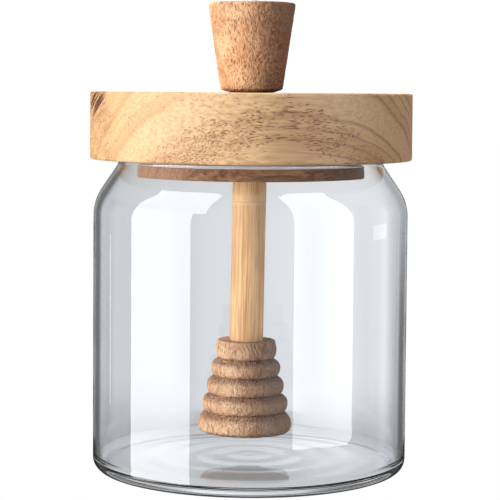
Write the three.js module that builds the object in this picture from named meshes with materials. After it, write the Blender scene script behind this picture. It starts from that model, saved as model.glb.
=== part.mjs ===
// Honey pot: an empty glass jar with a turned acacia lid and a beehive dipper.
//
// Millimetres, +Z up. The origin is the middle of the standing face, and the
// jar's axis is Z. Every piece is a solid of revolution, drawn as a half
// section and turned about its own axis. The dipper's stick passes through the
// lid into the knob, and stands a little askew.

import * as THREE from "three";

// Driving dimensions of the jar
const JAR_RADIUS = 42.5;
const JAR_HEIGHT = 84.2;
const WALL = 2.0;
const BASE_THICKNESS = 2.6;
const HEEL_RADIUS = 3.5;
const STANDING_RING_WIDTH = 6.0;
const PUSH_UP = 0.9;
const SHOULDER_START = 69.0;
const SHOULDER_RADIUS = 13.0;
const SHOULDER_SLOPE_DEG = 34;
const NECK_RADIUS = 35.8;
const NECK_CURVE_RADIUS = 2.0;
const RIM_ROUNDING = 0.6;
const INNER_CORNER_RADIUS = 2.4;

// Driving dimensions of the lid and its seal
const LID_RADIUS = 43.5;
const LID_THICKNESS = 18.0;
const LID_EDGE_ROUNDING = 0.9;
const PLUG_RADIUS = 30.7;
const PLUG_THICKNESS = 3.3;
const PLUG_EDGE_ROUNDING = 0.3;
const GROOVE_HEIGHT = 1.9;
const GROOVE_DEPTH = 1.9;
const SEAL_LIP_RADIUS = 33.4;
const SEAL_INNER_GAP = 0.2;

// Driving dimensions of the dipper
const STICK_RADIUS = 4.6;
const STICK_GAP = 0.6;
const STICK_END_GAP = 0.3;
const STICK_CHAMFER = 0.5;
const STICK_LEAN_DEG = 0.78;
const SOCKET_DEPTH = 12.0;
const KNOB_HEIGHT = 24.3;
const KNOB_TOP_RADIUS = 11.8;
const KNOB_FOOT_RADIUS = 8.6;
const KNOB_FOOT_ROUNDING = 0.9;
const KNOB_FOOT_LIFT = 0.55;
const KNOB_SEAT_RADIUS = 5.9;
const KNOB_TOP_ROUNDING = 1.1;
const HEAD_BOTTOM = 10.0;
const HEAD_RINGS = 5;
const HEAD_BOTTOM_RING_HEIGHT = 5.8;
const HEAD_RING_HEIGHT = 4.8;
const HEAD_TOP_RING_HEIGHT = 5.0;
const HEAD_BOTTOM_RADIUS = 12.8;
const HEAD_TOP_RADIUS = 8.4;
const HEAD_GROOVE_DEPTH = 0.85;
const HEAD_FOOT_ROUNDING = 1.7;

// Facets round each piece
const JAR_FACETS = 72;
const DIPPER_FACETS = 36;
const STICK_FACETS = 24;

// Levels worked out from the sizes above
const LID_BOTTOM = JAR_HEIGHT;
const LID_TOP = LID_BOTTOM + LID_THICKNESS;
const PLUG_TOP = LID_BOTTOM - GROOVE_HEIGHT;
const PLUG_BOTTOM = PLUG_TOP - PLUG_THICKNESS;

// Colours, with roughness and metalness
const FINISHES = {
  glass: { color: 0xe6ecef, roughness: 0.03, metalness: 0.0, transparent: true, opacity: 0.25 },
  acacia: { color: 0xd3a674, roughness: 0.55, metalness: 0.0 },
  silicone: { color: 0xa5968f, roughness: 0.5, metalness: 0.0 },
  hardwood: { color: 0xb07c55, roughness: 0.7, metalness: 0.0 },
  bamboo: { color: 0xe0b07a, roughness: 0.6, metalness: 0.0 },
};

const radians = THREE.MathUtils.degToRad;
const point = (radius, height) => new THREE.Vector2(radius, height);

// Points along an arc of a half section, both ends included
function arc(centre, radius, fromDeg, toDeg, steps) {
  const points = [];
  for (let i = 0; i <= steps; i++) {
    const angle = radians(fromDeg + ((toDeg - fromDeg) * i) / steps);
    points.push(point(centre.x + radius * Math.cos(angle), centre.y + radius * Math.sin(angle)));
  }
  return points;
}

// A half section turned about Z, as a named mesh
function turned(name, finish, profile, facets) {
  const geometry = new THREE.LatheGeometry(profile, facets);
  geometry.rotateX(Math.PI / 2);
  const mesh = new THREE.Mesh(geometry, new THREE.MeshStandardMaterial(FINISHES[finish]));
  mesh.name = name;
  return mesh;
}

// One face of the shoulder and neck, offset inwards from the outer face:
// an arc leaning in, a straight slope, and a reverse arc back to upright
function shoulder(offset, steps) {
  const slope = radians(SHOULDER_SLOPE_DEG);
  const lower = point(JAR_RADIUS - SHOULDER_RADIUS, SHOULDER_START);
  const slopeStart = lower.x + SHOULDER_RADIUS * Math.cos(slope);
  const slopeEnd = NECK_RADIUS + NECK_CURVE_RADIUS * (1 - Math.cos(slope));
  const slopeRise = (slopeStart - slopeEnd) / Math.tan(slope);
  const upperLevel = lower.y + (SHOULDER_RADIUS + NECK_CURVE_RADIUS) * Math.sin(slope) + slopeRise;
  const upper = point(NECK_RADIUS + NECK_CURVE_RADIUS, upperLevel);
  return [
    ...arc(lower, SHOULDER_RADIUS - offset, 0, SHOULDER_SLOPE_DEG, steps),
    ...arc(upper, NECK_CURVE_RADIUS + offset, 180 + SHOULDER_SLOPE_DEG, 180, Math.ceil(steps / 2)),
  ];
}

// Standing face, heel, wall, shoulder and rim outside, then back down inside
function jar() {
  const heelCentre = point(JAR_RADIUS - HEEL_RADIUS, HEEL_RADIUS);
  const pushUpRadius = heelCentre.x - STANDING_RING_WIDTH;
  const rimOuter = point(NECK_RADIUS - RIM_ROUNDING, JAR_HEIGHT - RIM_ROUNDING);
  const rimInner = point(NECK_RADIUS - WALL + RIM_ROUNDING, JAR_HEIGHT - RIM_ROUNDING);
  const innerRadius = JAR_RADIUS - WALL;
  const floorCentre = point(innerRadius - INNER_CORNER_RADIUS, BASE_THICKNESS + INNER_CORNER_RADIUS);
  const pushUp = (radius) => PUSH_UP * (1 - (radius / pushUpRadius) ** 2);
  const outside = [
    point(0, pushUp(0)),
    point(pushUpRadius * 0.4, pushUp(pushUpRadius * 0.4)),
    point(pushUpRadius * 0.75, pushUp(pushUpRadius * 0.75)),
    point(pushUpRadius, 0),
    ...arc(heelCentre, HEEL_RADIUS, -90, 0, 5),
    ...shoulder(0, 5),
    ...arc(rimOuter, RIM_ROUNDING, 0, 90, 2),
  ];
  const inside = [
    ...arc(rimInner, RIM_ROUNDING, 90, 180, 2),
    ...shoulder(WALL, 5).reverse(),
    ...arc(floorCentre, INNER_CORNER_RADIUS, 0, -90, 4),
    point(pushUpRadius * 0.75, BASE_THICKNESS + pushUp(pushUpRadius * 0.75)),
    point(pushUpRadius * 0.4, BASE_THICKNESS + pushUp(pushUpRadius * 0.4)),
    point(0, BASE_THICKNESS + pushUp(0)),
  ];
  return turned("jar", "glass", [...outside, ...inside], JAR_FACETS);
}

// Disc, groove and plug in one piece of wood, with the stick's bore through it
function lid() {
  const bore = STICK_RADIUS + STICK_GAP;
  const grooveRadius = PLUG_RADIUS - GROOVE_DEPTH;
  const plugCorner = PLUG_RADIUS - PLUG_EDGE_ROUNDING;
  const discCorner = LID_RADIUS - LID_EDGE_ROUNDING;
  const profile = [
    point(bore, PLUG_BOTTOM),
    ...arc(point(plugCorner, PLUG_BOTTOM + PLUG_EDGE_ROUNDING), PLUG_EDGE_ROUNDING, -90, 0, 1),
    ...arc(point(plugCorner, PLUG_TOP - PLUG_EDGE_ROUNDING), PLUG_EDGE_ROUNDING, 0, 90, 1),
    point(grooveRadius, PLUG_TOP),
    point(grooveRadius, LID_BOTTOM),
    ...arc(point(discCorner, LID_BOTTOM + LID_EDGE_ROUNDING), LID_EDGE_ROUNDING, -90, 0, 3),
    ...arc(point(discCorner, LID_TOP - LID_EDGE_ROUNDING), LID_EDGE_ROUNDING, 0, 90, 3),
    point(bore, LID_TOP),
    point(bore, PLUG_BOTTOM),
  ];
  return turned("lid", "acacia", profile, JAR_FACETS);
}

// A ring that fills the groove and flares to a thin lip under the disc
function sealRing() {
  const inner = PLUG_RADIUS - GROOVE_DEPTH + SEAL_INNER_GAP;
  const flare = SEAL_LIP_RADIUS - PLUG_RADIUS;
  const profile = [
    point(inner, PLUG_TOP),
    point(PLUG_RADIUS, PLUG_TOP),
    point(PLUG_RADIUS + 0.22 * flare, PLUG_TOP + 0.35 * GROOVE_HEIGHT),
    point(PLUG_RADIUS + 0.52 * flare, PLUG_TOP + 0.7 * GROOVE_HEIGHT),
    point(SEAL_LIP_RADIUS, PLUG_TOP + 0.92 * GROOVE_HEIGHT),
    point(SEAL_LIP_RADIUS, LID_BOTTOM),
    point(inner, LID_BOTTOM),
    point(inner, PLUG_TOP),
  ];
  return turned("seal_ring", "silicone", profile, JAR_FACETS);
}

// A tapered knob, wide at the top, with a socket for the stick. Its foot is
// slightly crowned, so it sits on a small circle in the middle
function knob() {
  const socket = STICK_RADIUS + STICK_GAP;
  const top = LID_TOP + KNOB_HEIGHT;
  const topCorner = point(KNOB_TOP_RADIUS - KNOB_TOP_ROUNDING, top - KNOB_TOP_ROUNDING);
  const footLevel = LID_TOP + KNOB_FOOT_LIFT + KNOB_FOOT_ROUNDING;
  const footCorner = point(KNOB_FOOT_RADIUS - KNOB_FOOT_ROUNDING, footLevel);
  const profile = [
    point(0, LID_TOP + SOCKET_DEPTH),
    point(socket, LID_TOP + SOCKET_DEPTH),
    point(socket, LID_TOP),
    point(KNOB_SEAT_RADIUS, LID_TOP),
    ...arc(footCorner, KNOB_FOOT_ROUNDING, -80, 0, 4),
    ...arc(topCorner, KNOB_TOP_ROUNDING, 0, 90, 4),
    point(0, top),
  ];
  return turned("knob", "hardwood", profile, DIPPER_FACETS);
}

// Radius, lower level and upper level of one ring of the head, counted upwards
function headRing(index) {
  const taper = (HEAD_BOTTOM_RADIUS - HEAD_TOP_RADIUS) / (HEAD_RINGS - 1);
  const lower = index === 0 ? 0 : HEAD_BOTTOM_RING_HEIGHT + (index - 1) * HEAD_RING_HEIGHT;
  const heights = [HEAD_BOTTOM_RING_HEIGHT, HEAD_RING_HEIGHT, HEAD_TOP_RING_HEIGHT];
  const height = heights[index === 0 ? 0 : index === HEAD_RINGS - 1 ? 2 : 1];
  return {
    radius: HEAD_BOTTOM_RADIUS - taper * index,
    groove: HEAD_BOTTOM_RADIUS - taper * (index + 1) - HEAD_GROOVE_DEPTH,
    lower: HEAD_BOTTOM + lower,
    upper: HEAD_BOTTOM + lower + height,
  };
}

// A rounded shoulder of a ring, from its widest level up to the groove above
function ringShoulder(ring, widest, steps) {
  const points = [];
  for (let i = 1; i <= steps; i++) {
    const angle = ((Math.PI / 2) * i) / steps;
    const radius = ring.groove + (ring.radius - ring.groove) * Math.cos(angle) ** 0.8;
    points.push(point(radius, widest + (ring.upper - widest) * Math.sin(angle)));
  }
  return points;
}

// The underside of a ring, from the groove below out to its widest level
function ringUnderside(ring, widest, steps) {
  const groove = ring.radius - HEAD_GROOVE_DEPTH;
  const points = [];
  for (let i = 1; i <= steps; i++) {
    const angle = (Math.PI / 2) * (1 - i / steps);
    const radius = groove + HEAD_GROOVE_DEPTH * Math.cos(angle) ** 0.8;
    points.push(point(radius, widest - (widest - ring.lower) * Math.sin(angle)));
  }
  return points;
}

// Beehive head: a footed bottom ring, rounded rings, and a straight top ring
function dipperHead() {
  const bottomRing = headRing(0);
  const topRing = headRing(HEAD_RINGS - 1);
  const socket = STICK_RADIUS + STICK_GAP;
  const footLevel = HEAD_BOTTOM + HEAD_FOOT_ROUNDING;
  const foot = point(HEAD_BOTTOM_RADIUS - HEAD_FOOT_ROUNDING, footLevel);
  const chamfer = topRing.lower + HEAD_TOP_RING_HEIGHT * 0.35;
  const edge = 0.4;
  const profile = [
    point(0, HEAD_BOTTOM),
    ...arc(foot, HEAD_FOOT_ROUNDING, -90, 0, 4),
    ...ringShoulder(bottomRing, footLevel + 0.6, 4),
  ];
  for (let i = 1; i < HEAD_RINGS - 1; i++) {
    const ring = headRing(i);
    const widest = (ring.lower + ring.upper) / 2;
    profile.push(...ringUnderside(ring, widest, 4), ...ringShoulder(ring, widest, 4));
  }
  profile.push(
    ...ringUnderside(topRing, chamfer, 3),
    point(HEAD_TOP_RADIUS - edge, topRing.upper - edge),
    point(HEAD_TOP_RADIUS - 2 * edge, topRing.upper),
    point(socket, topRing.upper),
    point(socket, topRing.upper - SOCKET_DEPTH),
    point(0, topRing.upper - SOCKET_DEPTH),
  );
  return turned("dipper_head", "hardwood", profile, DIPPER_FACETS);
}

// A round bamboo stick, from the head's socket up into the knob's socket
function stick() {
  const bottom = headRing(HEAD_RINGS - 1).upper - SOCKET_DEPTH + STICK_END_GAP;
  const top = LID_TOP + SOCKET_DEPTH - STICK_END_GAP;
  const profile = [
    point(0, bottom),
    point(STICK_RADIUS - STICK_CHAMFER, bottom),
    point(STICK_RADIUS, bottom + STICK_CHAMFER),
    point(STICK_RADIUS, top - STICK_CHAMFER),
    point(STICK_RADIUS - STICK_CHAMFER, top),
    point(0, top),
  ];
  return turned("dowel", "bamboo", profile, STICK_FACETS);
}

// Stick and head lean together about the point where they meet the knob
function askewDipper() {
  const pivot = new THREE.Group();
  pivot.position.z = LID_TOP;
  pivot.rotation.y = radians(STICK_LEAN_DEG);
  const dipper = new THREE.Group();
  dipper.position.z = -LID_TOP;
  dipper.add(stick(), dipperHead());
  pivot.add(dipper);
  return pivot;
}

const honeyPot = new THREE.Group();
honeyPot.add(jar(), lid(), sealRing(), knob(), askewDipper());
export default honeyPot;
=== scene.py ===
"""Honey pot: the looks of an empty glass jar, its acacia lid and its beehive dipper.

Metres, +Z up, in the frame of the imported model. Sizes are in millimetres where
they are named, and MM turns them into metres. Every turned piece is a profile
that one Geometry Nodes tree turns about the jar's axis and cuts its relief in.
"""

import math

import bpy
from mathutils import Matrix, Vector


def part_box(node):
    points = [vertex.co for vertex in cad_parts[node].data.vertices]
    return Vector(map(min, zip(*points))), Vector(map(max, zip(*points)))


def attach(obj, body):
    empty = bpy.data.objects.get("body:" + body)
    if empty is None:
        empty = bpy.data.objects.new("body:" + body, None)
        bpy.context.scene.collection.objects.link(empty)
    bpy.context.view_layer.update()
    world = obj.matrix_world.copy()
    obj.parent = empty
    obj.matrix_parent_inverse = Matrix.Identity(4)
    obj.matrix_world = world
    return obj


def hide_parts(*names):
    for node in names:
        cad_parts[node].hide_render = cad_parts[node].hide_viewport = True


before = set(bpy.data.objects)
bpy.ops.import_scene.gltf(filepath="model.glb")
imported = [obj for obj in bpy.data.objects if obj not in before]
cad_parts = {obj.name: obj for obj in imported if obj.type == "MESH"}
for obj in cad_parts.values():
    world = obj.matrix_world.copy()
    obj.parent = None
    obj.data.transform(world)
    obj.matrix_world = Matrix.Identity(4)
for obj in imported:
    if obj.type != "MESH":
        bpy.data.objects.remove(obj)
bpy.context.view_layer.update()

MM = 0.001


def low(node, axis):
    """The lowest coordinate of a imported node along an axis, in millimetres."""
    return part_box(node)[0][axis] / MM


def high(node, axis):
    """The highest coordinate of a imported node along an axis, in millimetres."""
    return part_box(node)[1][axis] / MM


# Jar, measured in the frame, and the details of its glass
JAR_RADIUS = high("jar", 0)
JAR_HEIGHT = high("jar", 2)
WALL = 2.0
BASE_THICKNESS = 2.6
HEEL_RADIUS = 3.5
STANDING_RING_WIDTH = 6.0
PUSH_UP = 0.9
SHOULDER_START = 69.0
SHOULDER_RADIUS = 13.0
SHOULDER_SLOPE = math.radians(34)
NECK_RADIUS = 35.8
NECK_CURVE_RADIUS = 2.0
RIM_ROUNDING = 0.9
INNER_CORNER_RADIUS = 2.6
RIPPLE_DEPTH = 0.012
RIPPLE_SPACING = 9.0

# Lid and seal
LID_RADIUS = high("lid", 0)
LID_TOP = high("lid", 2)
LID_BOTTOM = JAR_HEIGHT
LID_EDGE_ROUNDING = 0.6
PLUG_RADIUS = 30.7
PLUG_BOTTOM = low("lid", 2)
PLUG_TOP = low("seal_ring", 2)
PLUG_EDGE_ROUNDING = 0.35
GROOVE_DEPTH = 1.9
SEAL_LIP_RADIUS = high("seal_ring", 0)
SEAL_INSET = 0.15
SEAL_FLARE_POWER = 1.7
SEAL_LIP_START = 0.1
SEAL_LIP_SPAN = 0.82

# Dipper
STICK_RADIUS = 4.6
STICK_CHAMFER = 0.5
STICK_BOTTOM = 23.5
STICK_TOP = 113.9
STICK_NODE_LEVEL = 73.6
SOCKET_RADIUS = 4.75
SOCKET_DEPTH = 12.0
LEAN = math.radians(0.78)
KNOB_TOP = high("knob", 2)
KNOB_TOP_RADIUS = high("knob", 0)
KNOB_FOOT_RADIUS = 8.6
KNOB_SEAT_RADIUS = 5.9
KNOB_FOOT_LIFT = 0.55
KNOB_FOOT_ROUNDING = 0.9
KNOB_TOP_ROUNDING = 0.9
HEAD_BOTTOM = 10.0
HEAD_RING_HEIGHT = 4.8
HEAD_RING_HEIGHTS = [5.8, HEAD_RING_HEIGHT, HEAD_RING_HEIGHT, HEAD_RING_HEIGHT, 5.0]
HEAD_RINGS_START = HEAD_BOTTOM + HEAD_RING_HEIGHTS[0]
HEAD_BOTTOM_RADIUS = 12.8
HEAD_TOP_RADIUS = 8.4
HEAD_GROOVE_DEPTH = 1.25
HEAD_FOOT_ROUNDING = 1.7
HEAD_FOOT_WALL = 0.6
HEAD_TOP_EDGE = 0.4
RING_FULL_POWER = 0.75
RING_HOLLOW_POWER = 1.45

# Wood of the lid: where its fibres run, where its growth rings are centred, how wide they are,
# and its pores as pairs of length along the fibres and width across them
FIBRE_TURN = math.radians(12.5)
PITH_DEPTH = -111.0
PITH_LEVEL = -7.0
RING_SPACING = 3.6
LONG_PORE = (6.2, 0.5)
MIDDLE_PORE = (4.2, 0.4)
SHORT_PORE = (2.1, 0.34)
PORE_RIM = 0.38
PORE_CORE = 0.16
KNOT_ALONG = -41.5
KNOT_DEPTH = -5.0
KNOT_LEVEL = 100.6

# Share of the turned wood that lies in dark hollows
FLECK_SHARE = 0.475

# Points that lie nearer than this are one point
MERGE_DISTANCE = 0.002


# Profiles, as lists of (radius, height) in millimetres

def arc(centre, radius, start, end, steps):
    """Points of an arc, in degrees from start to end, with both its ends."""
    points = []
    for i in range(steps + 1):
        angle = math.radians(start + (end - start) * i / steps)
        points.append((centre[0] + radius * math.cos(angle), centre[1] + radius * math.sin(angle)))
    return points


def line(start, end, steps):
    """Evenly spaced points after start, up to and with end."""
    return [
        (start[0] + (end[0] - start[0]) * i / steps, start[1] + (end[1] - start[1]) * i / steps)
        for i in range(1, steps + 1)
    ]


def shoulder(offset, steps):
    """One face of the shoulder and neck, offset inwards from the outer face."""
    sine, cosine = math.sin(SHOULDER_SLOPE), math.cos(SHOULDER_SLOPE)
    lower = (JAR_RADIUS - SHOULDER_RADIUS, SHOULDER_START)
    slope_start = lower[0] + SHOULDER_RADIUS * cosine
    slope_end = NECK_RADIUS + NECK_CURVE_RADIUS * (1 - cosine)
    rise = (slope_start - slope_end) / math.tan(SHOULDER_SLOPE)
    upper_level = lower[1] + (SHOULDER_RADIUS + NECK_CURVE_RADIUS) * sine + rise
    upper = (NECK_RADIUS + NECK_CURVE_RADIUS, upper_level)
    degrees = math.degrees(SHOULDER_SLOPE)
    lean_in = arc(lower, SHOULDER_RADIUS - offset, 0, degrees, steps)
    stand_up = arc(upper, NECK_CURVE_RADIUS + offset, 180 + degrees, 180, steps // 2)
    return lean_in + line(lean_in[-1], stand_up[0], 6)[:-1] + stand_up


def jar_profile():
    """Pushed-up base, standing ring, heel, side, shoulder and rim, then the inner faces."""
    heel = (JAR_RADIUS - HEEL_RADIUS, HEEL_RADIUS)
    push_up_radius = heel[0] - STANDING_RING_WIDTH
    rim_out = (NECK_RADIUS - RIM_ROUNDING, JAR_HEIGHT - RIM_ROUNDING)
    rim_in = (NECK_RADIUS - WALL + RIM_ROUNDING, JAR_HEIGHT - RIM_ROUNDING)
    corner_radius = JAR_RADIUS - WALL - INNER_CORNER_RADIUS
    corner = (corner_radius, BASE_THICKNESS + INNER_CORNER_RADIUS)

    def pushed_up(radius):
        return PUSH_UP * max(0, 1 - (radius / push_up_radius) ** 2)

    def floor_level(radius):
        ripple = RIPPLE_DEPTH * math.sin(math.tau * radius / RIPPLE_SPACING)
        fade = min(1, (corner_radius - radius) / RIPPLE_SPACING)
        return BASE_THICKNESS + pushed_up(radius) + ripple * fade

    under = [(push_up_radius * i / 24, pushed_up(push_up_radius * i / 24)) for i in range(25)]
    floor = [(corner_radius * i / 60, floor_level(corner_radius * i / 60)) for i in range(60)]
    return (
        under
        + line(under[-1], (heel[0], 0), 3)[:-1]
        + arc(heel, HEEL_RADIUS, -90, 0, 14)
        + line((JAR_RADIUS, HEEL_RADIUS), (JAR_RADIUS, SHOULDER_START), 16)[:-1]
        + shoulder(0, 14)
        + arc(rim_out, RIM_ROUNDING, 0, 90, 6)
        + arc(rim_in, RIM_ROUNDING, 90, 180, 6)
        + shoulder(WALL, 14)[::-1]
        + line((JAR_RADIUS - WALL, SHOULDER_START), (JAR_RADIUS - WALL, corner[1]), 16)[:-1]
        + arc(corner, INNER_CORNER_RADIUS, 0, -90, 10)
        + floor[::-1]
    )


def lid_profile():
    """Bore, plug, groove for the seal, and the thick disc on top."""
    groove = PLUG_RADIUS - GROOVE_DEPTH
    plug = PLUG_RADIUS - PLUG_EDGE_ROUNDING
    disc = LID_RADIUS - LID_EDGE_ROUNDING
    plug_low = (plug, PLUG_BOTTOM + PLUG_EDGE_ROUNDING)
    plug_high = (plug, PLUG_TOP - PLUG_EDGE_ROUNDING)
    disc_low = (disc, LID_BOTTOM + LID_EDGE_ROUNDING)
    disc_high = (disc, LID_TOP - LID_EDGE_ROUNDING)
    points = [(SOCKET_RADIUS, LID_TOP), (SOCKET_RADIUS, PLUG_BOTTOM)]
    points += line(points[-1], (plug, PLUG_BOTTOM), 14)[:-1]
    points += arc(plug_low, PLUG_EDGE_ROUNDING, -90, 0, 3)
    points += line(points[-1], (PLUG_RADIUS, plug_high[1]), 8)[:-1]
    points += arc(plug_high, PLUG_EDGE_ROUNDING, 0, 90, 3)
    points += [(groove, PLUG_TOP), (groove, LID_BOTTOM)]
    points += line(points[-1], (disc, LID_BOTTOM), 10)[:-1]
    points += arc(disc_low, LID_EDGE_ROUNDING, -90, 0, 5)
    points += line(points[-1], (LID_RADIUS, disc_high[1]), 46)[:-1]
    points += arc(disc_high, LID_EDGE_ROUNDING, 0, 90, 5)
    return points + line(points[-1], (SOCKET_RADIUS, LID_TOP), 34)


def seal_profile():
    """A ring that fills the groove and flares outwards to a lip under the lid."""
    inner = PLUG_RADIUS - GROOVE_DEPTH
    flare = SEAL_LIP_RADIUS - PLUG_RADIUS
    height = LID_BOTTOM - PLUG_TOP
    points = [(inner, LID_BOTTOM), (inner, PLUG_TOP), (PLUG_RADIUS - SEAL_INSET, PLUG_TOP)]
    for share in (i / 12 for i in range(13)):
        level = PLUG_TOP + height * (SEAL_LIP_START + SEAL_LIP_SPAN * share)
        points.append((PLUG_RADIUS + flare * share ** SEAL_FLARE_POWER, level))
    return points + [(SEAL_LIP_RADIUS, LID_BOTTOM), (inner, LID_BOTTOM)]


def knob_profile():
    """Socket, small seat on the lid, and a body that widens to a flat top."""
    foot = (KNOB_FOOT_RADIUS - KNOB_FOOT_ROUNDING, LID_TOP + KNOB_FOOT_LIFT + KNOB_FOOT_ROUNDING)
    top = (KNOB_TOP_RADIUS - KNOB_TOP_ROUNDING, KNOB_TOP - KNOB_TOP_ROUNDING)
    points = [(0, LID_TOP + SOCKET_DEPTH), (SOCKET_RADIUS, LID_TOP + SOCKET_DEPTH)]
    points += [(SOCKET_RADIUS, LID_TOP), (KNOB_SEAT_RADIUS, LID_TOP)]
    rounding = arc(foot, KNOB_FOOT_ROUNDING, -80, 0, 6)
    points += line(points[-1], rounding[0], 5)[:-1] + rounding
    edge = arc(top, KNOB_TOP_ROUNDING, 0, 90, 8)
    points += line(points[-1], edge[0], 104)[:-1] + edge
    return points + line(points[-1], (0, KNOB_TOP), 30)


def head_profile():
    """Foot, five rings with grooves between, and the top face with its socket."""
    count = len(HEAD_RING_HEIGHTS)
    taper = (HEAD_BOTTOM_RADIUS - HEAD_TOP_RADIUS) / (count - 1)
    foot = (HEAD_BOTTOM_RADIUS - HEAD_FOOT_ROUNDING, HEAD_BOTTOM + HEAD_FOOT_ROUNDING)
    points = [(0, HEAD_BOTTOM)]
    points += line(points[-1], (foot[0], HEAD_BOTTOM), 24)[:-1]
    points += arc(foot, HEAD_FOOT_ROUNDING, -90, 0, 12)
    base = HEAD_BOTTOM
    for index, height in enumerate(HEAD_RING_HEIGHTS):
        radius = HEAD_BOTTOM_RADIUS - taper * index
        widest = base + height * 0.5
        if index == 0:
            widest = foot[1] + HEAD_FOOT_WALL
        else:
            groove = radius - HEAD_GROOVE_DEPTH
            points += ring_quarter(radius, groove, widest, base, 14, RING_FULL_POWER)[::-1]
        if index < count - 1:
            groove = radius - taper - HEAD_GROOVE_DEPTH
            points += ring_quarter(radius, groove, widest, base + height, 18, RING_HOLLOW_POWER)
        base += height
    top_edge = (HEAD_TOP_RADIUS - 2 * HEAD_TOP_EDGE, base - HEAD_TOP_EDGE)
    points += line(points[-1], (top_edge[0] + HEAD_TOP_EDGE, top_edge[1]), 16)[:-1]
    points += arc(top_edge, HEAD_TOP_EDGE, 0, 90, 4)
    points += line(points[-1], (SOCKET_RADIUS, base), 10)
    return points + [(SOCKET_RADIUS, base - SOCKET_DEPTH), (0, base - SOCKET_DEPTH)]


def ring_quarter(radius, groove, widest, level, steps, power):
    """From a ring's widest level to the groove at level; a low power is full, a high one hollow."""
    points = []
    for i in range(steps + 1):
        angle = math.pi / 2 * i / steps
        reach = math.cos(angle) ** power if i < steps else 0
        height = widest + (level - widest) * math.sin(angle)
        points.append((groove + (radius - groove) * reach, height))
    return points


def stick_profile():
    """A round stick with chamfered ends and one faint node."""
    low_edge = (STICK_RADIUS - STICK_CHAMFER, STICK_BOTTOM)
    points = [(0, STICK_BOTTOM), low_edge, (STICK_RADIUS, STICK_BOTTOM + STICK_CHAMFER)]
    points += line(points[-1], (STICK_RADIUS, STICK_NODE_LEVEL - 1.0), 20)
    for above, swell in ((-0.4, 0.03), (0.0, -0.02), (0.4, 0.03), (1.0, 0.0)):
        points += line(points[-1], (STICK_RADIUS + swell, STICK_NODE_LEVEL + above), 2)
    points += line(points[-1], (STICK_RADIUS, STICK_TOP - STICK_CHAMFER), 14)
    return points + [(STICK_RADIUS - STICK_CHAMFER, STICK_TOP), (0, STICK_TOP)]


# Node trees

class Recipe:
    """Short calls that add nodes to a tree and give back the socket that matters."""

    def __init__(self, tree):
        self.tree = tree

    def add(self, kind, inputs=(), **settings):
        node = self.tree.nodes.new(kind)
        for name, value in settings.items():
            setattr(node, name, value)
        for name, value in dict(inputs).items():
            self.feed(node.inputs[name], value)
        return node

    def feed(self, socket, value):
        """Links a socket to another, or sets its value."""
        if isinstance(value, bpy.types.NodeSocket):
            self.tree.links.new(value, socket)
        else:
            socket.default_value = value

    def math(self, operation, *values):
        node = self.tree.nodes.new("ShaderNodeMath")
        node.operation = operation
        for socket, value in zip(node.inputs, values):
            self.feed(socket, value)
        return node.outputs[0]

    def vector(self, operation, *values):
        node = self.tree.nodes.new("ShaderNodeVectorMath")
        node.operation = operation
        for socket, value in zip(node.inputs, values):
            self.feed(socket, value)
        return node.outputs["Value" if operation == "LENGTH" else "Vector"]

    def scaled(self, vector, factor):
        node = self.add("ShaderNodeVectorMath", {0: vector, "Scale": factor}, operation="SCALE")
        return node.outputs["Vector"]

    def apart(self, vector):
        return self.add("ShaderNodeSeparateXYZ", {0: vector}).outputs

    def together(self, x, y, z):
        return self.add("ShaderNodeCombineXYZ", {0: x, 1: y, 2: z}).outputs[0]

    def smooth(self, value, start, end):
        """0 at start, 1 at end, with a soft passage between them."""
        node = self.add("ShaderNodeMapRange", {"Value": value}, interpolation_type="SMOOTHSTEP")
        self.feed(node.inputs["From Min"], start)
        self.feed(node.inputs["From Max"], end)
        return node.outputs["Result"]

    def noise(self, vector, scale, detail=3.0, roughness=0.5):
        inputs = {"Vector": vector, "Scale": scale, "Detail": detail, "Roughness": roughness}
        return self.add("ShaderNodeTexNoise", inputs).outputs[0]

    def noise_along(self, value, scale, detail):
        """Noise that changes along one number, such as the distance from the pith."""
        node = self.add("ShaderNodeTexNoise", noise_dimensions="1D")
        self.feed(node.inputs["W"], value)
        node.inputs["Scale"].default_value = scale
        node.inputs["Detail"].default_value = detail
        return node.outputs[0]

    def cells(self, vector):
        """Distance to the nearest point of a loose grid of step 1, and that point's own colour."""
        inputs = {"Vector": vector, "Scale": 1.0, "Randomness": 1.0}
        node = self.add("ShaderNodeTexVoronoi", inputs)
        return node.outputs["Distance"], node.outputs["Color"]

    def mix(self, factor, first, second):
        node = self.add("ShaderNodeMix", data_type="RGBA")
        self.feed(node.inputs[0], factor)
        self.feed(node.inputs[6], first)
        self.feed(node.inputs[7], second)
        return node.outputs[2]

    def bump(self, height, strength, depth_mm):
        inputs = {"Height": height, "Strength": strength, "Distance": depth_mm * MM}
        return self.add("ShaderNodeBump", inputs).outputs[0]


def colour(red, green, blue):
    """A colour given as screen values from 0 to 255, made linear for a shader."""
    def linear(value):
        value /= 255
        return value / 12.92 if value <= 0.04045 else ((value + 0.055) / 1.055) ** 2.4
    return (linear(red), linear(green), linear(blue), 1.0)


def hollows(r, position_mm, scale, stretch):
    """Uneven height between 0 and 1 that is drawn out upwards, and the short flecks in its lows."""
    x, y, z = r.apart(position_mm)
    sloping = r.math("MULTIPLY_ADD", z, 0.22, x)
    drawn = r.together(sloping, y, r.math("DIVIDE", z, stretch))
    height = r.noise(drawn, scale, 3.0, 0.62)
    patch = r.math("MULTIPLY_ADD", r.noise(position_mm, 0.3, 2.0), 0.12, FLECK_SHARE - 0.06)
    soft = r.math("SUBTRACT", patch, 0.06)
    return height, r.smooth(height, patch, soft)


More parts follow.
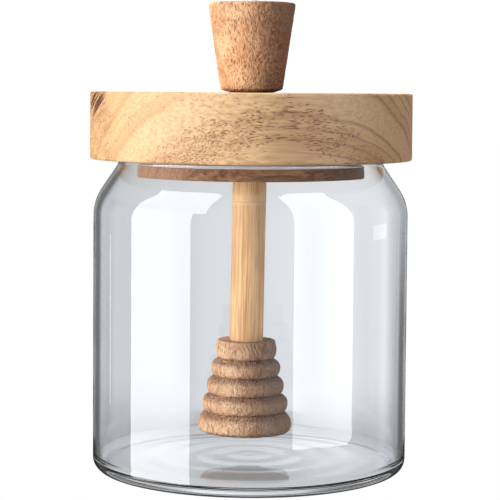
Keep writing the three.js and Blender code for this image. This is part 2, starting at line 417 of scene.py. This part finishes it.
def turning_tree():
    """Turns a profile about Z, cuts flecks and unevenness in it, and gives it its material."""
    tree = bpy.data.node_groups.new("turning", "GeometryNodeTree")
    tree.interface.new_socket("Profile", in_out="INPUT", socket_type="NodeSocketGeometry")
    for name, kind in (
        ("Facets", "Int"), ("Rows", "Int"), ("Fleck Depth", "Float"), ("Unevenness", "Float"),
        ("Relief Scale", "Float"), ("Relief Stretch", "Float"), ("Seed", "Float"),
        ("Material", "Material"),
    ):
        tree.interface.new_socket(name, in_out="INPUT", socket_type="NodeSocket" + kind)
    tree.interface.new_socket("Piece", in_out="OUTPUT", socket_type="NodeSocketGeometry")
    r = Recipe(tree)
    given = r.add("NodeGroupInput").outputs
    columns = r.math("ADD", given["Facets"], 1.0)
    grid = r.add("GeometryNodeMeshGrid", {"Vertices X": columns, "Vertices Y": given["Rows"]})
    index = r.add("GeometryNodeInputIndex").outputs[0]
    row = r.math("MODULO", index, given["Rows"])
    column = r.math("FLOOR", r.math("DIVIDE", r.math("ADD", index, 0.5), given["Rows"]))
    sample = r.add("GeometryNodeSampleIndex", data_type="FLOAT_VECTOR", domain="POINT")
    r.feed(sample.inputs["Geometry"], given["Profile"])
    r.feed(sample.inputs["Value"], r.add("GeometryNodeInputPosition").outputs[0])
    r.feed(sample.inputs["Index"], row)
    radius, _, height = r.apart(sample.outputs[0])
    turn = r.math("MULTIPLY", column, r.math("DIVIDE", math.tau, given["Facets"]))
    place = r.together(
        r.math("MULTIPLY", radius, r.math("COSINE", turn)),
        r.math("MULTIPLY", radius, r.math("SINE", turn)),
        height,
    )
    turned = r.add("GeometryNodeSetPosition", {"Geometry": grid.outputs["Mesh"], "Position": place})
    joining = {"Geometry": turned.outputs[0], "Distance": MERGE_DISTANCE * MM}
    merged = r.add("GeometryNodeMergeByDistance", joining)
    position = r.add("GeometryNodeInputPosition").outputs[0]
    shift = r.together(given["Seed"], given["Seed"], given["Seed"])
    position_mm = r.vector("ADD", r.scaled(position, 1 / MM), shift)
    swell, mask = hollows(r, position_mm, given["Relief Scale"], given["Relief Stretch"])
    rough = r.math("MINIMUM", r.math("SUBTRACT", swell, 0.7), 0.0)
    depth = r.math("MULTIPLY", mask, r.math("MULTIPLY", given["Fleck Depth"], -MM))
    rise = r.math("MULTIPLY_ADD", rough, r.math("MULTIPLY", given["Unevenness"], MM), depth)
    normal = r.add("GeometryNodeInputNormal").outputs[0]
    note = {"Geometry": merged.outputs[0], "Name": "fleck"}
    noted = r.add("GeometryNodeStoreNamedAttribute", note)
    r.feed(noted.inputs["Value"], mask)
    carved = r.add("GeometryNodeSetPosition", {"Geometry": noted.outputs[0]})
    r.feed(carved.inputs["Offset"], r.scaled(normal, rise))
    smooth = r.add("GeometryNodeSetShadeSmooth", {"Geometry": carved.outputs[0]})
    real = r.add("GeometryNodeRealizeInstances", {"Geometry": smooth.outputs[0]})
    finish = {"Geometry": real.outputs[0], "Material": given["Material"]}
    painted = r.add("GeometryNodeSetMaterial", finish)
    r.add("NodeGroupOutput", {"Piece": painted.outputs[0]})
    return tree


def turn_piece(tree, name, profile, facets, material, sharp=40, lean=False, **relief):
    """Makes a plain mesh object from a profile with the turning tree."""
    mesh = bpy.data.meshes.new(name + "_profile")
    edges = [(i, i + 1) for i in range(len(profile) - 1)]
    mesh.from_pydata([(x * MM, 0, z * MM) for x, z in profile], edges, [])
    source = bpy.data.objects.new(name + "_profile", mesh)
    bpy.context.scene.collection.objects.link(source)
    modifier = source.modifiers.new("turning", "NODES")
    modifier.node_group = tree
    values = {
        "Facets": facets, "Rows": len(profile), "Material": material, "Fleck Depth": 0.0,
        "Unevenness": 0.0, "Relief Scale": 0.5, "Relief Stretch": 1.0, "Seed": 0.0,
    }
    values.update({key.replace("_", " ").title(): value for key, value in relief.items()})
    for item in tree.interface.items_tree:
        if item.in_out == "INPUT" and item.name in values:
            modifier[item.identifier] = values[item.name]
    depsgraph = bpy.context.evaluated_depsgraph_get()
    finished = bpy.data.meshes.new_from_object(source.evaluated_get(depsgraph))
    bpy.data.objects.remove(source)
    finished.set_sharp_from_angle(angle=math.radians(sharp))
    if lean:
        pivot = Matrix.Translation((0, 0, LID_TOP * MM))
        finished.transform(pivot @ Matrix.Rotation(LEAN, 4, "Y") @ pivot.inverted())
    piece = bpy.data.objects.new(name, finished)
    bpy.context.scene.collection.objects.link(piece)
    return piece


def stand_for(piece, node):
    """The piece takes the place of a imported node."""
    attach(piece, "root")
    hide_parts(node)


# Materials

def new_material(name):
    """A material with its recipe, its shader and its Object coordinates in millimetres."""
    material = bpy.data.materials.new(name)
    material.use_nodes = True
    recipe = Recipe(material.node_tree)
    shader = material.node_tree.nodes["Principled BSDF"]
    coordinates = recipe.add("ShaderNodeTexCoord").outputs["Object"]
    return material, recipe, shader, recipe.scaled(coordinates, 1 / MM)


def acacia():
    """Cream wood with slanting growth rings and open pores, and a browner plug whose tone is partly
    its own and partly painted shade, with painted light at one end.
    """
    material, r, shader, place = new_material("acacia")
    turned = r.add("ShaderNodeVectorRotate", {"Vector": place}, rotation_type="Z_AXIS")
    turned.inputs["Angle"].default_value = -FIBRE_TURN
    along, deep, level = r.apart(turned.outputs[0])
    age = growth_age(r, along, deep, level)
    latewood = latewood_mask(r, age)
    fine = r.together(
        r.math("MULTIPLY", along, 0.05),
        r.math("MULTIPLY", deep, 1.4),
        r.math("MULTIPLY", level, 1.4),
    )
    fibre = r.noise(fine, 1.0, 4.0, 0.65)
    ringed = cream_wood(r, along, age, latewood)
    grained = r.mix(r.smooth(fibre, 0.35, 0.75), ringed, colour(198, 150, 102))

    porous = pore_zone(r, along, age, level)
    pores = pore_mask(r, along, deep, level, porous)
    stained = r.mix(r.math("MULTIPLY", porous, 0.2), grained, colour(180, 120, 70))
    pored = r.mix(r.math("MULTIPLY", pores, 0.9), stained, colour(114, 60, 24))
    knotted = r.mix(knot_mask(r, along, deep, level), pored, colour(78, 42, 26))

    # The plug under the lid: its browner tone is partly its own and partly painted shade.
    in_plug = r.smooth(level, LID_BOTTOM - 0.1, LID_BOTTOM - 0.6)
    plug_colour_and_shade = plug_tone_and_shade(r, along, deep, level, fibre, latewood)
    r.feed(shader.inputs["Base Color"], r.mix(in_plug, knotted, plug_colour_and_shade))

    relief = r.math("MULTIPLY_ADD", pores, -1.0, r.math("MULTIPLY", fibre, 0.25))
    r.feed(shader.inputs["Normal"], r.bump(relief, 0.6, 0.12))
    r.feed(shader.inputs["Roughness"], r.math("MULTIPLY_ADD", fibre, 0.25, 0.4))
    shader.inputs["Specular IOR Level"].default_value = 0.35
    return material


def growth_age(r, along, deep, level):
    """Distance from the pith, made to waver slowly along the fibres."""
    slow = r.together(r.math("MULTIPLY", along, 0.35), deep, level)
    waver = r.math("SUBTRACT", r.noise(slow, 0.045, 3.0, 0.55), 0.5)
    aside = r.math("SUBTRACT", deep, PITH_DEPTH)
    below = r.math("SUBTRACT", level, PITH_LEVEL)
    square = r.math("MULTIPLY_ADD", aside, aside, r.math("MULTIPLY", below, below))
    return r.math("MULTIPLY_ADD", waver, 7.0, r.math("SQRT", square))


def latewood_mask(r, age):
    """The dark end of each growth ring, with rings of uneven width."""
    years = r.math("DIVIDE", age, RING_SPACING)
    sweep = r.math("FRACT", r.math("MULTIPLY_ADD", r.noise_along(age, 0.11, 1.0), 1.6, years))
    return r.math("MULTIPLY", r.smooth(sweep, 0.62, 0.95), r.smooth(sweep, 1.0, 0.95))


def cream_wood(r, along, age, latewood):
    """Broad soft tones, a paler stretch, and rings that grow stronger towards one end."""
    broad = r.smooth(r.noise_along(age, 0.13, 3.0), 0.35, 0.68)
    toned = r.mix(broad, colour(226, 184, 134), colour(204, 158, 108))
    stretch = r.math("MULTIPLY", r.smooth(along, -32.0, -18.0), r.smooth(along, 2.0, -11.0))
    paler = r.mix(r.math("MULTIPLY", stretch, 0.85), toned, colour(252, 210, 160))
    ring_weight = r.math("MULTIPLY_ADD", r.smooth(along, -14.0, 30.0), 0.72, 0.16)
    return r.mix(r.math("MULTIPLY", latewood, ring_weight), paler, colour(134, 94, 60))


def plug_tone_and_shade(r, along, deep, level, fibre, latewood):
    """The plug's wood: browner than the lid in part by its own tone and in part by painted shade,
    with painted light at one end and painted shade at the other, finely speckled.
    """
    streaks = r.smooth(fibre, 0.3, 0.7)
    middle = r.mix(streaks, colour(168, 116, 78), colour(90, 50, 26))
    # Painted light: paler at the end towards the key lamp.
    painted_light_end = r.math("MULTIPLY", r.smooth(along, -16.0, -30.0), 0.55)
    near = r.mix(painted_light_end, middle, colour(190, 148, 118))
    far = r.mix(streaks, colour(88, 48, 24), colour(34, 14, 4))
    # Painted shade: near black at the end away from the key lamp.
    shaded = r.mix(r.smooth(along, 4.0, 26.0), near, far)
    ringed = r.mix(r.math("MULTIPLY", latewood, 0.4), shaded, colour(66, 36, 18))
    specks = dashes(r, (along, deep, level), (1.4, 0.4, 0.4), 0.6, 0.45, 0.15)
    return r.mix(r.math("MULTIPLY", specks, 0.55), ringed, colour(58, 32, 18))


def pore_zone(r, along, age, level):
    """Where the vessels are crowded: one band of years, and the end grain at the far side."""
    drop = r.math("MAXIMUM", r.math("MULTIPLY", along, -0.14), r.math("MULTIPLY", along, 0.28))
    bent = r.math("ADD", age, drop)
    band = r.math("MULTIPLY", r.smooth(bent, 118.0, 120.2), r.smooth(bent, 129.0, 126.0))
    end = r.math("MULTIPLY", r.smooth(along, -38.5, -42.0), r.smooth(level, 101.0, 97.0))
    both = r.math("MAXIMUM", band, r.math("MULTIPLY", end, 0.7))
    clusters = r.noise(r.together(r.math("MULTIPLY", along, 0.4), age, level), 0.45, 2.0)
    crowded = r.math("MULTIPLY_ADD", r.smooth(clusters, 0.34, 0.52), 0.85, 0.15)
    return r.math("MULTIPLY_ADD", both, crowded, 0.02)


def pore_mask(r, along, deep, level, porous):
    """Vessels cut open: dashes along the fibres, dots where the end grain shows."""
    place = (along, deep, level)
    long_ones, middling, short_ones = [
        dashes(r, place, (length, width, width), porous, PORE_RIM, PORE_CORE)
        for length, width in (LONG_PORE, MIDDLE_PORE, SHORT_PORE)
    ]
    finer = r.math("MAXIMUM", middling, short_ones)
    return r.math("MAXIMUM", long_ones, r.math("MULTIPLY", finer, 0.85))


def dashes(r, place, size, share, rim, core):
    """Short hollows, at most one in a cell of the given size; a share of the cells has one."""
    scaled = [r.math("DIVIDE", at, extent) for at, extent in zip(place, size)]
    distance, shade = r.cells(r.together(*scaled))
    present = r.math("LESS_THAN", r.apart(shade)[0], share)
    return r.math("MULTIPLY", r.smooth(distance, rim, core), present)


def knot_mask(r, along, deep, level):
    """A cluster of dark slanting streaks at the top of one end."""
    away = r.vector("LENGTH", r.together(
        r.math("SUBTRACT", along, KNOT_ALONG),
        r.math("DIVIDE", r.math("SUBTRACT", deep, KNOT_DEPTH), 1.3),
        r.math("SUBTRACT", level, KNOT_LEVEL),
    ))
    slanting = r.math("MULTIPLY_ADD", level, 1.9, deep)
    drawn = r.together(r.math("MULTIPLY", along, 0.1), slanting, r.math("MULTIPLY", level, 0.12))
    streaks = r.noise(drawn, 0.8, 3.0)
    return r.math("MULTIPLY", r.smooth(away, 7.5, 3.5), r.smooth(streaks, 0.42, 0.52))


def hardwood():
    """Turned brown wood with short open pores and upright streaks; painted shade darkens its +X
    side, crowds its pores there and darkens the top of each head ring.
    """
    material, r, shader, place = new_material("hardwood")
    across, deep, level = r.apart(place)
    in_head = r.smooth(level, 60.0, 40.0)
    fine = r.noise(r.vector("MULTIPLY", place, (1.6, 1.6, 0.4)), 1.0, 4.0, 0.6)
    cloud = r.smooth(r.noise(place, 0.16, 2.0), 0.35, 0.65)
    light = r.mix(cloud, colour(236, 190, 146), colour(212, 160, 116))
    grain = r.math("MULTIPLY", r.smooth(fine, 0.45, 0.75), 0.35)
    grained = r.mix(grain, light, colour(182, 128, 88))
    upright = r.noise(r.vector("MULTIPLY", place, (1.1, 1.1, 0.16)), 1.0, 3.0, 0.6)
    strength = r.math("MULTIPLY_ADD", in_head, 0.4, 0.1)
    streaked = r.math("MULTIPLY", r.smooth(upright, 0.5, 0.66), strength)
    streaky = r.mix(streaked, grained, colour(134, 76, 44))

    # Painted shade: darker towards +X, the side away from the key lamp.
    start = r.math("MULTIPLY_ADD", in_head, -6.0, -3.0)
    painted_side_shade = r.math("MULTIPLY", r.smooth(across, start, 9.0), 0.84)
    side_shaded = r.mix(painted_side_shade, streaky, colour(98, 58, 32))
    fleck = r.add("ShaderNodeAttribute", attribute_name="fleck").outputs["Fac"]
    mottled = r.mix(r.math("MULTIPLY", fleck, 0.2), side_shaded, colour(104, 60, 32))

    slanting = r.math("MULTIPLY_ADD", level, 0.25, across)
    length = r.math("MULTIPLY_ADD", in_head, 1.2, 1.4)
    # Painted shade too: more pores towards +X, the side away from the key lamp.
    share = r.math("MULTIPLY_ADD", r.smooth(across, -9.0, 2.0), 0.4, 0.45)
    long_pores = dashes(r, (slanting, deep, level), (0.62, 0.62, length), share, 0.55, 0.1)
    short_pores = dashes(r, (across, deep, level), (0.42, 0.42, 0.8), share, 0.55, 0.1)
    pores = r.math("MAXIMUM", long_pores, r.math("MULTIPLY", short_pores, 0.6))
    pored = r.mix(r.math("MULTIPLY", r.smooth(pores, 0.3, 0.8), 0.26), mottled, colour(112, 60, 28))
    # Painted shade at the top of each head ring, under the ring above.
    groove_shaded = r.mix(groove_shade_mask(r, level, fine), pored, colour(98, 54, 28))
    r.feed(shader.inputs["Base Color"], groove_shaded)

    relief = r.math("MULTIPLY_ADD", pores, -1.0, r.math("MULTIPLY", fine, 0.5))
    r.feed(shader.inputs["Normal"], r.bump(relief, 1.0, 0.36))
    shader.inputs["Roughness"].default_value = 0.58
    shader.inputs["Specular IOR Level"].default_value = 0.3
    return material


def groove_shade_mask(r, level, fine):
    """Painted shade on the upper part of each ring of the dipper head, under the ring above, broken
    up by the grain.
    """
    height = r.math("SUBTRACT", level, HEAD_RINGS_START)
    ring = r.math("FRACT", r.math("DIVIDE", height, HEAD_RING_HEIGHT))
    upper = r.smooth(ring, 0.52, 0.88)
    inside = r.math("LESS_THAN", level, HEAD_RINGS_START + 3 * HEAD_RING_HEIGHT + 0.4)
    broken = r.math("MULTIPLY_ADD", r.smooth(fine, 0.6, 0.4), 0.55, 0.3)
    return r.math("MULTIPLY", r.math("MULTIPLY", upper, inside), broken)


def bamboo():
    """Pale yellow cane with fine upright fibres, broken at one node."""
    material, r, shader, place = new_material("bamboo")
    across, deep, level = r.apart(place)
    upright = r.math("MULTIPLY_ADD", r.math("SUBTRACT", level, LID_TOP), -math.tan(LEAN), across)
    above = r.math("GREATER_THAN", level, STICK_NODE_LEVEL)
    shifted = r.math("MULTIPLY_ADD", above, 3.0, upright)
    cane = r.together(shifted, deep, r.math("MULTIPLY", level, 0.02))
    fibre = r.noise(cane, 1.5, 4.0, 0.7)
    strand = r.noise(cane, 3.2, 2.0, 0.5)
    base = r.mix(r.smooth(fibre, 0.35, 0.68), colour(234, 188, 134), colour(200, 144, 88))
    lines = r.math("MULTIPLY", r.smooth(strand, 0.54, 0.64), 0.6)
    lined = r.mix(lines, base, colour(172, 110, 58))
    from_node = r.math("ABSOLUTE", r.math("SUBTRACT", level, STICK_NODE_LEVEL))
    band = r.math("MULTIPLY", r.smooth(from_node, 1.6, 0.5), 0.5)
    banded = r.mix(band, lined, colour(238, 194, 142))
    groove = r.math("MULTIPLY", r.smooth(from_node, 0.3, 0.1), 0.35)
    r.feed(shader.inputs["Base Color"], r.mix(groove, banded, colour(196, 140, 86)))
    r.feed(shader.inputs["Normal"], r.bump(fibre, 0.35, 0.1))
    shader.inputs["Roughness"].default_value = 0.5
    shader.inputs["Specular IOR Level"].default_value = 0.35
    return material


def silicone():
    """Milky grey rubber, a little see-through and softly uneven."""
    material, r, shader, place = new_material("silicone")
    cloud = r.noise(place, 0.35, 3.0)
    r.feed(shader.inputs["Base Color"], r.mix(cloud, colour(216, 208, 210), colour(198, 188, 188)))
    r.feed(shader.inputs["Normal"], r.bump(r.noise(place, 2.5, 2.0), 0.15, 0.05))
    shader.inputs["Roughness"].default_value = 0.62
    shader.inputs["Subsurface Weight"].default_value = 0.3
    shader.inputs["Subsurface Radius"].default_value = (0.004, 0.004, 0.004)
    return material


def glass():
    """Clear glass that bends light, with a faint waviness. Lamps shine through it."""
    material, r, shader, place = new_material("clear_glass")
    shader.inputs["Base Color"].default_value = (0.95, 0.965, 0.98, 1.0)
    shader.inputs["Roughness"].default_value = 0.0
    shader.inputs["IOR"].default_value = 1.5
    shader.inputs["Transmission Weight"].default_value = 1.0
    r.feed(shader.inputs["Normal"], r.bump(r.noise(place, 0.05, 2.0), 0.06, 0.4))
    clear = r.add("ShaderNodeBsdfTransparent", {"Color": (0.93, 0.945, 0.95, 1.0)})
    shadow = r.add("ShaderNodeLightPath").outputs["Is Shadow Ray"]
    shared = r.add("ShaderNodeMixShader", {0: shadow, 1: shader.outputs[0], 2: clear.outputs[0]})
    output = material.node_tree.nodes["Material Output"]
    r.feed(output.inputs["Surface"], shared.outputs[0])
    return material


# Studio

CAMERA_DISTANCE = 501.7
EYE_LEVEL = 102.6
FOCAL_LENGTH = 133.3
FRAME_SHIFT = -0.1
CAMERA_PITCH = math.radians(3.365)
CAMERA_ROLL = math.radians(0.43)
CAMERA_ASIDE = -0.18
PANEL_DISTANCE = 300.0
PANEL_CHAMFER = 3.0
AMBIENT = 0.36
MIRRORED_WORLD = 0.35


def add_camera():
    """A long lens that looks a little down on the lid from straight in front."""
    camera = bpy.data.objects.new("camera", bpy.data.cameras.new("camera"))
    camera.data.lens = FOCAL_LENGTH
    camera.data.sensor_width = 36.0
    camera.data.shift_y = FRAME_SHIFT
    camera.data.clip_start = 0.01
    camera.rotation_mode = "XYZ"
    pitch = Matrix.Rotation(math.pi / 2 - CAMERA_PITCH, 4, "X")
    roll = Matrix.Rotation(CAMERA_ROLL, 4, "Z")
    place = Matrix.Translation((CAMERA_ASIDE * MM, -CAMERA_DISTANCE * MM, EYE_LEVEL * MM))
    camera.matrix_world = place @ pitch @ roll
    bpy.context.scene.collection.objects.link(camera)
    bpy.context.scene.camera = camera


def plain_mesh(name, vertices, faces, material):
    """A stage item from points in millimetres."""
    mesh = bpy.data.meshes.new(name)
    mesh.from_pydata([Vector(v) * MM for v in vertices], [], faces)
    mesh.materials.append(material)
    item = bpy.data.objects.new(name, mesh)
    bpy.context.scene.collection.objects.link(item)
    return item


def seen_by(item, camera=False, glossy=False):
    """Shows a stage item to the camera alone or in mirrors alone."""
    item.visible_camera = camera
    item.visible_glossy = glossy
    item.visible_diffuse = False
    item.visible_transmission = False
    item.visible_shadow = False


def glow(name, strength):
    """A material that shines evenly."""
    material = bpy.data.materials.new(name)
    material.use_nodes = True
    recipe = Recipe(material.node_tree)
    material.node_tree.nodes.remove(material.node_tree.nodes["Principled BSDF"])
    light = recipe.add("ShaderNodeEmission", {"Strength": strength})
    recipe.feed(material.node_tree.nodes["Material Output"].inputs["Surface"], light.outputs[0])
    return material


def add_floor():
    """A white floor that shows no shadow and isn't mirrored in the glass."""
    half = 3000.0
    corners = [(-half, -half, 0), (half, -half, 0), (half, half, 0), (-half, half, 0)]
    floor = plain_mesh("floor", corners, [(0, 1, 2, 3)], glow("pale_floor", 1.0))
    seen_by(floor, camera=True)


def add_panel(name, start, end, bottom, top, strength):
    """An upright light panel, curved round the pot between two angles from the camera's side."""
    count = 12
    vertices, faces = [], []
    for i in range(count + 1):
        angle = math.radians(start + (end - start) * i / count)
        x = PANEL_DISTANCE * math.sin(angle)
        y = -PANEL_DISTANCE * math.cos(angle)
        foot = bottom + (PANEL_CHAMFER if i == count else 0)
        vertices += [(x, y, foot), (x, y, top)]
        if i:
            faces.append((2 * i - 2, 2 * i - 1, 2 * i + 1, 2 * i))
    panel = plain_mesh(name, vertices, faces, glow(name, strength))
    seen_by(panel, glossy=True)


def add_lamp(name, place, size, power):
    """A soft square lamp that points at the middle of the pot and isn't mirrored in it."""
    data = bpy.data.lights.new(name, "AREA")
    data.shape = "SQUARE"
    data.size = size * MM
    data.energy = power
    lamp = bpy.data.objects.new(name, data)
    middle = Vector((0, 0, 60.0))
    lamp.location = Vector(place) * MM
    lamp.rotation_mode = "QUATERNION"
    lamp.rotation_quaternion = (middle - Vector(place)).to_track_quat("-Z", "Y")
    lamp.visible_glossy = False
    lamp.visible_transmission = False
    lamp.visible_camera = False
    bpy.context.scene.collection.objects.link(lamp)


def add_world():
    """White for the camera, grey in mirrors, striped through glass, and soft on matt surfaces."""
    world = bpy.data.worlds.new("studio")
    bpy.context.scene.world = world
    world.use_nodes = True
    r = Recipe(world.node_tree)
    background = world.node_tree.nodes["Background"]
    rays = r.add("ShaderNodeLightPath").outputs
    x, y, z = r.apart(r.add("ShaderNodeTexCoord").outputs["Generated"])
    behind = r.math("MULTIPLY_ADD", r.smooth(y, 0.7, 0.9), -0.3, MIRRORED_WORLD)
    mirrored = choose(r, rays["Is Glossy Ray"], behind, 1.06)
    strength = choose(r, rays["Is Transmission Ray"], through_glass(r, x, y, z), mirrored)
    r.feed(background.inputs["Strength"], choose(r, rays["Is Diffuse Ray"], AMBIENT, strength))
    background.inputs["Color"].default_value = (0.965, 0.982, 1.0, 1.0)


def through_glass(r, x, y, z):
    """Pale in seven directions and dark between them, which draws the edges of the jar.

    It fades downwards, most at the sides and in the middle, and is even where
    the direction is steep.
    """
    around = r.math("MULTIPLY", r.math("ARCTAN2", x, y), 7.0)
    pale = r.smooth(r.math("COSINE", around), -0.9, 0.2)
    palest = r.math("MULTIPLY_ADD", r.math("SINE", around), 0.14, 0.84)
    darkest_right = r.math("MULTIPLY_ADD", r.smooth(z, -0.14, -0.05), 0.4, 0.15)
    darkest = choose(r, r.smooth(x, -0.1, 0.1), darkest_right, 0.18)
    striped = r.math("MULTIPLY_ADD", pale, r.math("SUBTRACT", palest, darkest), darkest)
    fading = r.math("MINIMUM", r.math("MULTIPLY_ADD", z, 6.0, 1.98), 1.0)
    aside = r.math("ABSOLUTE", x)
    low_sides = r.math("MULTIPLY", r.smooth(aside, 0.02, 0.12), r.smooth(z, -0.148, -0.18))
    low_middle = r.math("MULTIPLY", r.smooth(aside, 0.05, 0.03), r.smooth(z, -0.168, -0.178))
    sides_shaded = r.math("MULTIPLY_ADD", low_sides, -0.16, r.math("MAXIMUM", fading, 0.72))
    shaded = r.math("MULTIPLY_ADD", low_middle, -0.25, sides_shaded)
    level_part = r.math("MULTIPLY", striped, shaded)
    steep = r.smooth(r.math("ABSOLUTE", z), 0.2, 0.4)
    steep_part = choose(r, r.smooth(z, 0.1, -0.1), 0.62, 0.76)
    return choose(r, steep, steep_part, level_part)


def choose(r, switch, when_on, when_off):
    """One number or the other, or a share of both, by a switch from 0 to 1."""
    node = r.add("ShaderNodeMix", {0: switch, 2: when_off, 3: when_on}, data_type="FLOAT")
    return node.outputs[0]


def add_studio():
    """Camera, floor, surroundings, panels that the glass mirrors, and lamps for the wood."""
    add_camera()
    add_floor()
    add_world()
    add_panel("left_panel", start=-89, end=-40, bottom=-110.0, top=168.0, strength=7.6)
    add_panel("left_upper_panel", start=-89, end=-31, bottom=168.0, top=560.0, strength=6.6)
    add_panel("right_panel", start=29, end=74, bottom=-38.0, top=560.0, strength=6.0)
    add_panel("left_strip", start=-115.2, end=-113.8, bottom=-27.0, top=44.0, strength=2.5)
    add_panel("right_patch", start=93, end=109, bottom=43.0, top=52.0, strength=2.0)
    add_lamp("key", place=(-805, -405, 150), size=300, power=8.7)
    add_lamp("top", place=(-100, 200, 800), size=300, power=6.0)
    scene = bpy.context.scene
    scene.view_settings.view_transform = "Standard"
    scene.cycles.caustics_reflective = False
    scene.cycles.caustics_refractive = True
    scene.cycles.max_bounces = 16
    scene.cycles.transmission_bounces = 16
    scene.cycles.glossy_bounces = 8


def build():
    """Makes the six pieces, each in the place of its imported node."""
    tree = turning_tree()
    lid_wood = acacia()
    turned_wood = hardwood()
    cane = bamboo()
    pits = {"fleck_depth": 0.05, "unevenness": 0.6, "relief_scale": 1.2}
    jar = turn_piece(tree, "jar_glass", jar_profile(), 240, glass(), sharp=60)
    stand_for(jar, "jar")
    lid = turn_piece(tree, "lid_wood", lid_profile(), 560, lid_wood, unevenness=0.03)
    stand_for(lid, "lid")
    seal = turn_piece(tree, "seal_soft", seal_profile(), 180, silicone())
    stand_for(seal, "seal_ring")
    knob = turn_piece(
        tree, "knob_wood", knob_profile(), 440, turned_wood,
        seed=3.0, relief_stretch=1.2, **pits,
    )
    stand_for(knob, "knob")
    head = turn_piece(
        tree, "head_wood", head_profile(), 420, turned_wood,
        lean=True, seed=9.0, relief_stretch=2.0, **pits,
    )
    stand_for(head, "dipper_head")
    stick = turn_piece(tree, "stick_cane", stick_profile(), 120, cane, lean=True, unevenness=0.05)
    stand_for(stick, "dowel")


build()
add_studio()
